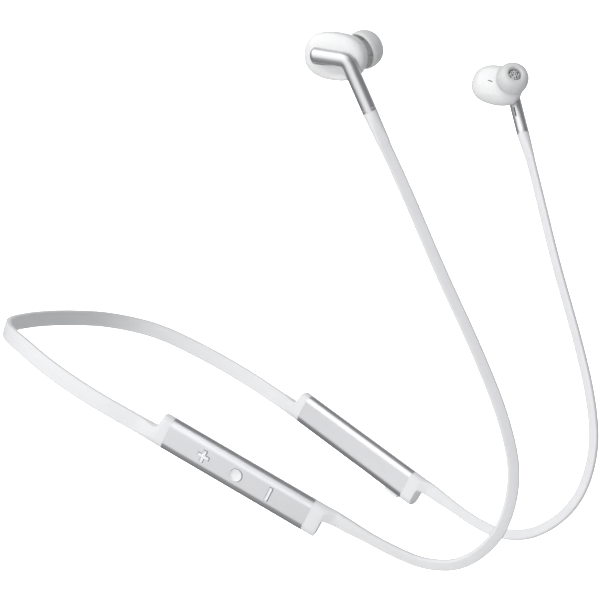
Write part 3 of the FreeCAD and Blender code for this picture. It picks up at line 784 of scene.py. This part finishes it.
def edge_cutters():
    """Openings in the left sleeve's lower edge, for the mode button and the charging port's cover."""
    low = -SLEEVE_HEIGHT / 2 - EDGE_CUT_OUT
    high = -SLEEVE_HEIGHT / 2 + EDGE_CUT_IN
    shapes = (
        (BUTTON_START - KEY_GAP, BUTTON_START + BUTTON_LENGTH + KEY_GAP, BUTTON_WIDTH / 2 + KEY_GAP),
        (PORT_START - PORT_GAP, PORT_START + PORT_LENGTH + PORT_GAP, PORT_WIDTH / 2 + PORT_GAP),
    )
    cutters = []
    for start, end, half in shapes:
        points = [(start, low), (end, low), (end, high), (start, high)]
        cutters.append(build("edge_cutter", prism(points, -half, half), "inner_plastic",
                             place=MODULE_FRAMES["left"]))
    return cutters


for side, make_cutters in (("right", key_cutters), ("left", edge_cutters)):
    cutters = make_cutters()
    sleeve = build(side + "_sleeve", tube(), "anodised_aluminium", place=MODULE_FRAMES[side],
                   cutters=cutters, sharp=30)
    discard(cutters)
    settle(sleeve, side + "_arm", "anodised_aluminium", side + "_module_sleeve")


# ---------------------------------------------------------------- keys, mode button

FACE = -SLEEVE_THICK / 2
KEY_BACK = 0.0017
DISH = 0.0003
BUTTON_DEPTH = 0.0025
BUTTON_CORNER = 0.0005


def round_key():
    """A disc with a raised rim round a shallow dish."""
    rim = ROUND_KEY_RADIUS
    proud = -FACE + KEY_PROUD
    profile = [
        (0.0, proud - DISH), (rim - 0.00062, proud - DISH), (rim - 0.0005, proud - 0.00026),
        (rim - 0.0004, proud - 0.00008), (rim - 0.00028, proud), (rim - 0.0001, proud),
        (rim - 0.00002, proud - 0.0001), (rim, proud - DISH), (rim, KEY_BACK), (0.0, KEY_BACK),
    ]
    outward = frame_at(Vector((0, 0, 0)), Vector((0, -1, 0)), Vector((0, 0, 1)))
    return turned(profile, outward)


for kind, points in KEY_OUTLINES.items():
    if kind == "round":
        cap = build("round_key_cap", round_key(), "key_gloss", place=KEY_PLACES[kind])
    else:
        cap = build(kind + "_key_cap", prism(points(0), FACE - KEY_PROUD, -KEY_BACK), "key_gloss",
                    place=KEY_PLACES[kind], bevel=0.00016, bevel_steps=3)
    settle(cap, kind, "key_gloss", kind + "_key")

button_middle = BUTTON_START + BUTTON_LENGTH / 2
button_low = -SLEEVE_HEIGHT / 2 - BUTTON_PROUD
button_section = outline(BUTTON_LENGTH, BUTTON_WIDTH, BUTTON_CORNER, 4)
button_outline = [(x + button_middle, y) for x, y in button_section]
button_shape = pillar(button_outline, button_low, button_low + BUTTON_DEPTH)
button = build("mode_button_cap", button_shape, "key_gloss", place=MODULE_FRAMES["left"],
               bevel=0.0004, bevel_steps=4)
settle(button, "mode", "key_gloss", "mode_button")


# ---------------------------------------------------------------- buds

def superellipse(angle, width, height, power):
    """A point on an oval that is squarer the higher its power."""
    cosine, sine = math.cos(angle), math.sin(angle)
    x = width / 2 * math.copysign(abs(cosine) ** (2 / power), cosine)
    z = height / 2 * math.copysign(abs(sine) ** (2 / power), sine)
    return x, z


SHELL_OUTLINE_POWER = 2.35
FACE_POWER = 2.7
INNER_POWER = 2.4
INNER_DOME = 0.0058
INNER_LEAN = 0.0022
INNER_RISE = 0.3
LEAN_POWER = 1.5
SHELL_ROWS = 34
SHELL_COLUMNS = 112

HOLLOW_AT = (-0.0028, -0.0036)
HOLLOW_ACROSS = 0.0048
HOLLOW_BELOW = 0.0028
HOLLOW_ABOVE = 0.0011
HOLLOW_DEPTH = 0.0030


def hollow(x, z):
    """How far the outer shell is sunk under the bar."""
    across = (x - HOLLOW_AT[0]) / HOLLOW_ACROSS
    upward = (z - HOLLOW_AT[1]) / (HOLLOW_ABOVE if z > HOLLOW_AT[1] else HOLLOW_BELOW)
    return HOLLOW_DEPTH * math.exp(-across ** 2 - upward ** 2)


def shell_half(outer):
    """Half of the bud's shell, from its seam: the outer one a flattish pebble with a hollow under the bar,
    the inner one a dome that leans towards the nozzle."""
    rings = []
    depth = SHELL_DEPTH / 2 if outer else INNER_DOME
    for row in range(SHELL_ROWS):
        angle = row / (SHELL_ROWS - 1) * math.pi / 2
        power = FACE_POWER if outer else INNER_POWER
        out = math.sin(angle) ** (2 / power)
        size = max(math.cos(angle), 0.0) ** (2 / power)
        size = max(size, 0.004)
        y = SHELL_CENTRE.y + (-depth if outer else depth) * out
        shift = 0.0 if outer else INNER_LEAN * out ** LEAN_POWER
        ring = []
        for k in range(SHELL_COLUMNS):
            turn = 2 * math.pi * k / SHELL_COLUMNS
            x, z = superellipse(turn, SHELL_LENGTH, SHELL_HEIGHT, SHELL_OUTLINE_POWER)
            point = Vector((
                SHELL_CENTRE.x + x * size + shift, y, SHELL_CENTRE.z + z * size + shift * INNER_RISE))
            if outer:
                point.y += hollow(point.x, point.z) * out
            ring.append(point)
        rings.append(ring)
    return loft(rings)


BAR_ROUNDING = 0.0021
BAR_END_POWER = 2.6


def rod_frames(grow):
    """Frames and radii along the bent rod, from the bar's rounded end down to the stem's foot."""
    turn = math.pi / 2 - STEM_RAKE
    reach = BEND_RADIUS * math.tan(turn / 2)
    centre = Vector((-reach, 0, -BEND_RADIUS))
    radius = BAR_RADIUS + grow
    made = []
    for k in range(9):
        back = 1 - k / 8
        along = -BAR_LENGTH - BAR_RADIUS - grow + BAR_ROUNDING * (1 - back)
        size = radius * max(1 - back ** BAR_END_POWER, 0.0004) ** (1 / BAR_END_POWER)
        made.append((Vector((along, 0, 0)), Vector((1, 0, 0)), size))
    for k in range(13):
        angle = turn * k / 12
        point = centre + BEND_RADIUS * Vector((math.sin(angle), 0, math.cos(angle)))
        made.append((point, Vector((math.cos(angle), 0, -math.sin(angle))), radius))
    for share in (0.25, 0.5, 0.75, 1.0):
        made.append((STEM_DOWN * (reach + (STEM_LENGTH - reach) * share), STEM_DOWN, radius))
    return made


def rod(grow=0.0):
    """The bent rod: the bar across the shell, the bend and the stem; grown, it cuts the groove."""
    rings = []
    for point, along, size in rod_frames(grow):
        place = frame_at(point, along, along.cross(Vector((0, 1, 0))))
        rings.append(ring_at(place, outline(2 * size, 2 * size, size)))
    return loft(rings)


DOME_POWER = 2.25
TIP_BORE = 0.00246
TIP_LIP = 0.0032


def tip_profile():
    """The soft dome: sleeve on the nozzle, dished mouth, dome, thin skirt with a rolled rim."""
    bore = TIP_BORE
    lip = TIP_LIP
    top = TIP_TOP
    profile = [(bore, -0.0016), (bore, top - 0.0011), (bore + 0.00008, top - 0.0007)]
    profile += [(bore + 0.00022, top - 0.00035), (bore + 0.00042, top - 0.0001), (lip, top)]
    for k in range(1, 17):
        angle = math.pi / 2 * k / 16
        radius = lip + (TIP_RADIUS - lip) * math.sin(angle) ** (2 / DOME_POWER)
        along = top * max(math.cos(angle), 0.0) ** (2 / DOME_POWER)
        profile.append((radius, along))
    wide = TIP_RADIUS
    foot = -SKIRT_BACK
    profile += [
        (wide - 0.00004, foot / 2), (wide - 0.00018, foot + 0.0004), (wide - 0.00032, foot + 0.00008),
        (wide - 0.00052, foot), (wide - 0.00072, foot + 0.0001), (wide - 0.00078, foot + 0.0004),
        (wide - 0.00062, foot / 2), (wide - 0.0006, 0.0), (wide - 0.0011, 0.0020), (wide - 0.0019, 0.0034),
        (lip, 0.0041), (lip, -0.0014), (lip - 0.0001, -0.0016),
    ]
    clean = [profile[0]]
    for point in profile[1:]:
        if math.dist(point, clean[-1]) > 1e-6:
            clean.append(point)
    return clean


def capsule(length, width, near, far):
    """A slim bar with rounded ends, lying along x and running in z between two heights."""
    return pillar(outline(length, width, width / 2.01, 6), near, far)


def stem_vent_place():
    """On the stem's axis at the middle of its slot: x along the stem, z out through the slot."""
    sideways = STEM_DOWN.cross(Vector((0, 1, 0)))
    outward = Vector((0, 1, 0)) * math.cos(STEM_VENT_TURN) + sideways * math.sin(STEM_VENT_TURN)
    return frame_at(STEM_DOWN * (STEM_VENT_START + STEM_VENT_LENGTH / 2), STEM_DOWN, outward)


# The groove that the rod lies in is a little wide and low, so a shadow line shows under the bar
GROOVE_GAP = 0.00035
GROOVE_DROP = 0.00035

# In the bud's frame: the slot in the inner shell, and how far a dark screen lies below the surface. The
# screen stands for the vent's damper mesh, and its near-black colour is also painted shade in the slot.
SHELL_VENT = Vector((-0.0073, 0.0092, -0.0003))
SHELL_VENT_LENGTH = 0.0021
SHELL_VENT_WIDTH = 0.0004
SHELL_VENT_DEPTH = 0.0012
SHELL_VENT_TILT = -0.11
SHELL_SCREEN_BACK = 0.0014
STEM_VENT_DEPTH = 0.0007
STEM_SCREEN_BACK = 0.0009
SCREEN_SUNK = 0.0004
SCREEN_LAP = 0.0002

RING_BORE = 0.0017
RING_EASE = 0.00006

RELIEF_ROWS = 14
RELIEF_THICK = 0.0024
RELIEF_WIDTH = 0.0043
RELIEF_CORNER = 0.0009
RELIEF_EASE = 0.0002
RELIEF_REACH = 1.02     # past the cable's end by this share of the run


def screen_with_painted_shade(name, length, width, near, far, place, arm):
    """The dark film behind a slot, a little larger than the slot all round: partly the vent's damper mesh,
    partly painted shade that makes the slot read dark.
    """
    shape = capsule(length + SCREEN_LAP, width + SCREEN_LAP, near, far)
    settle(build(name, shape, "dark_film", place=place), arm, "dark_film")


def bud_shells(side, bud, arm):
    """Both halves of the shell, the rod's groove, and the inner half's slot and screen; the screen's dark
    colour is partly painted shade.
    """
    lowered = Matrix.Translation(Vector((0, 0, -GROOVE_DROP)))
    groove = build("groove_cutter", rod(GROOVE_GAP), "inner_plastic", place=bud @ lowered)
    outer = build(side + "_shell_outer", shell_half(True), "shell_gloss", place=bud,
                  cutters=[groove], sharp=40)
    slot_at = bud @ frame_at(SHELL_VENT, Vector((1, 0, SHELL_VENT_TILT)), Vector((0, 1, 0)))
    slot_shape = capsule(SHELL_VENT_LENGTH, SHELL_VENT_WIDTH, -SHELL_VENT_DEPTH, 0.002)
    slot = build("shell_slot_cutter", slot_shape, "inner_plastic", place=slot_at)
    inner = build(side + "_shell_inner", shell_half(False), "shell_gloss", place=bud,
                  cutters=[slot], sharp=40)
    settle(outer, arm, "shell_gloss", side + "_outer_shell")
    settle(inner, arm, "shell_gloss", side + "_inner_shell")
    screen_with_painted_shade(side + "_shell_vent_damper_and_shade", SHELL_VENT_LENGTH, SHELL_VENT_WIDTH,
                -SHELL_SCREEN_BACK, -SCREEN_SUNK, slot_at, arm)
    discard([groove, slot])


def bud_stem(side, bud, arm):
    """The bent rod with its slot and screen, and the ring at its foot; the screen's dark colour is partly
    painted shade.
    """
    slot_at = bud @ stem_vent_place()
    slot_shape = capsule(STEM_VENT_LENGTH, STEM_VENT_WIDTH, BAR_RADIUS - STEM_VENT_DEPTH,
                         BAR_RADIUS + 0.001)
    slot = build("stem_slot_cutter", slot_shape, "inner_plastic", place=slot_at)
    stem = build(side + "_stem_rod", rod(), "stem_metal", place=bud, sharp=50, cutters=[slot])
    settle(stem, arm, "stem_metal", side + "_stem")
    screen_with_painted_shade(side + "_stem_vent_damper_and_shade", STEM_VENT_LENGTH, STEM_VENT_WIDTH,
                BAR_RADIUS - STEM_SCREEN_BACK, BAR_RADIUS - SCREEN_SUNK, slot_at, arm)
    discard([slot])

    foot = frame_at(STEM_DOWN * STEM_LENGTH, STEM_DOWN, STEM_DOWN.cross(Vector((0, 1, 0))))
    profile = [
        (RING_BORE, 0.00003), (BAR_RADIUS - RING_EASE, 0.00003), (BAR_RADIUS, 0.00009),
        (BAR_RADIUS, RING_LENGTH - RING_EASE), (BAR_RADIUS - RING_EASE, RING_LENGTH),
        (RING_BORE, RING_LENGTH),
    ]
    ring = build(side + "_stem_end_ring", turned(profile, foot), "stem_metal", place=bud)
    settle(ring, arm, "stem_metal", side + "_stem_ring")


def bud_nozzle(side, bud, arm):
    """The nozzle's neck, the mesh in its mouth and the soft tip over it."""
    nozzle = frame_at(TIP_CENTRE, NOZZLE_AXIS, NOZZLE_AXIS.cross(Vector((1, 0, 0))))
    front = NOZZLE_FRONT
    neck_profile = [
        (0.0016, -0.0062), (0.0040, -0.0062), (0.0038, -0.0047), (0.0034, -0.0034), (0.00318, -0.0022),
        (0.0031, -0.0018), (0.0023, -0.0016), (0.0023, front - 0.0002), (0.0022, front),
        (0.0016, front),
    ]
    # The neck is painted near-black: painted shade for the shadow inside the tip's skirt.
    neck = build(side + "_neck", turned(neck_profile, nozzle), "core_silicone_painted_shade", place=bud)
    settle(neck, arm, "grey_silicone")
    grille_profile = [
        (0.0, front + 0.0003), (0.0010, front + 0.00026), (0.0018, front + 0.00014),
        (0.00225, front - 0.0001), (0.00225, front - 0.0004), (0.0, front - 0.0004),
    ]
    grille = build(side + "_grille", turned(grille_profile, nozzle), "fine_mesh", place=bud)
    settle(grille, arm, "fine_mesh", side + "_nozzle_mesh")
    tip = build(side + "_tip_dome", turned(tip_profile(), nozzle, 64), "grey_silicone", place=bud)
    settle(tip, side + "_tip", "grey_silicone", side + "_ear_tip")


def strain_relief(side, bud, arm):
    """Round at the stem's ring, flat at the cable."""
    start = bud @ (STEM_DOWN * (STEM_LENGTH + RING_LENGTH))
    cable_place = cable_ends[side]
    run = cable_place.translation - start
    rings = []
    for row in range(RELIEF_ROWS + 1):
        ease = smooth(row / RELIEF_ROWS)
        thick = 2 * RELIEF_RADIUS * (1 - ease) + RELIEF_THICK * ease
        width = 2 * RELIEF_RADIUS * (1 - ease) + RELIEF_WIDTH * ease
        corner = RELIEF_RADIUS * (1 - ease) + RELIEF_CORNER * ease
        if row == RELIEF_ROWS:
            thick -= RELIEF_EASE
            width -= RELIEF_EASE
        point = start + run * (row / RELIEF_ROWS * RELIEF_REACH)
        place = frame_at(point, -run, cable_place.to_3x3().col[2])
        rings.append(ring_at(place, outline(thick, width, min(corner, thick / 2), 6)))
    relief = build(side + "_relief", loft(rings), "white_silicone")
    settle(relief, arm, "white_silicone", side + "_strain_relief")


for side, bud in BUD_FRAMES.items():
    for part in (bud_shells, bud_stem, bud_nozzle, strain_relief):
        part(side, bud, side + "_arm")


# ---------------------------------------------------------------- CAD nodes that stay as they are

slot_of_node = {part["node"]: part["material_slot"] for part in frame["record"]["subparts"]}
for name, node in frame["nodes"].items():
    node.data.materials.clear()
    node.data.materials.append(MATERIALS[slot_of_node[name]])


# ---------------------------------------------------------------- floor, backdrop and lights

FLOOR_LEVEL = -0.8
STAGE_HALF = 5.0


def stage_piece(name, profile):
    """A sheet across the view whose profile is given as (distance away, height above the floor)."""
    flat = Vector((CAMERA_FORWARD.x, CAMERA_FORWARD.y, 0)).normalized()
    across = Vector((flat.y, -flat.x, 0))
    verts = []
    for sideways in (-STAGE_HALF, STAGE_HALF):
        for away, up in profile:
            verts.append(flat * away + across * sideways + Vector((0, 0, FLOOR_LEVEL + up)))
    count = len(profile)
    mesh = bpy.data.meshes.new(name)
    mesh.from_pydata(verts, [], [(i, i + 1, count + i + 1, count + i) for i in range(count - 1)])
    for polygon in mesh.polygons:
        polygon.use_smooth = True
    obj = bpy.data.objects.new(name, mesh)
    bpy.context.scene.collection.objects.link(obj)
    mesh.materials.append(
        finish_material(name + "_white", grey(0.93), grey(0.91), (0.8, 0.9), 40, 0.1, patch=2))
    return obj


WALL_AT = 4.0
WALL_BEND = 1.0
WALL_TOP = 1.8
curve = [(WALL_AT - WALL_BEND, 0.0)]
for k in range(1, 13):
    angle = math.pi / 2 * k / 12
    curve.append((WALL_AT - WALL_BEND * (1 - math.sin(angle)), WALL_BEND * (1 - math.cos(angle))))
floor = stage_piece("floor", [(-4.0, 0.0), (WALL_AT - WALL_BEND, 0.0)])
floor.visible_glossy = False
wall = stage_piece("wall", [*curve, (WALL_AT, WALL_TOP)])
wall.visible_glossy = False


def aim(obj, place, target):
    """Puts a light at a place, facing a target."""
    obj.location = place
    obj.rotation_euler = (Vector(target) - Vector(place)).to_track_quat("-Z", "Y").to_euler()
    bpy.context.scene.collection.objects.link(obj)


def softbox(name, place, target, size, size_y, power):
    """A rectangular light, facing a target."""
    light = bpy.data.lights.new(name, "AREA")
    light.shape = "RECTANGLE"
    light.size = size
    light.size_y = size_y
    light.energy = power
    obj = bpy.data.objects.new(name, light)
    aim(obj, place, target)
    return obj


OBJECT_MIDDLE = Vector((0.10, 0.0, 0.0))


def around(azimuth, elevation, distance):
    """A place round the object: azimuth 0 is straight in front of the near side, positive to the right."""
    azimuth, elevation = math.radians(azimuth), math.radians(elevation)
    level = distance * math.cos(elevation)
    return OBJECT_MIDDLE + Vector((
        level * math.sin(azimuth), -level * math.cos(azimuth), distance * math.sin(elevation)))


key = softbox("key", around(-24, 47, 1.35), OBJECT_MIDDLE, 2.4, 1.7, 18)
panel = softbox("front_panel", around(-2, -6, 1.5), OBJECT_MIDDLE, 3.2, 1.2, 12.3)
low_fill = softbox("low_fill", around(0, -62, 1.3), OBJECT_MIDDLE, 2.6, 1.4, 1.3)
back = softbox("back", around(178, 24, 1.7), OBJECT_MIDDLE, 2.4, 0.9, 5)
for light in (key, panel, low_fill, back):
    light.visible_camera = False
low_fill.visible_diffuse = False


def spot(name, place, target, power, cone):
    """A round beam with soft edges, facing a target."""
    light = bpy.data.lights.new(name, "SPOT")
    light.energy = power
    light.spot_size = math.radians(cone)
    light.spot_blend = 0.6
    light.shadow_soft_size = 0.3
    aim(bpy.data.objects.new(name, light), place, target)


SPOT_PLACE = (-0.6, 1.3, 2.6)
spot("wall_light", SPOT_PLACE, (-1.7, 3.7, 0.2), 900, 75)
spot("floor_light", SPOT_PLACE, (-1.4, 3.1, -0.8), 600, 80)

world = bpy.data.worlds.new("studio")
bpy.context.scene.world = world
world.use_nodes = True
background = world.node_tree.nodes["Background"]
background.inputs["Color"].default_value = (0.95, 0.97, 1.0, 1)
background.inputs["Strength"].default_value = 0.25

bpy.context.scene.view_settings.view_transform = "Standard"
bpy.context.scene.view_settings.look = "None"
bpy.context.scene.view_settings.exposure = 0.0
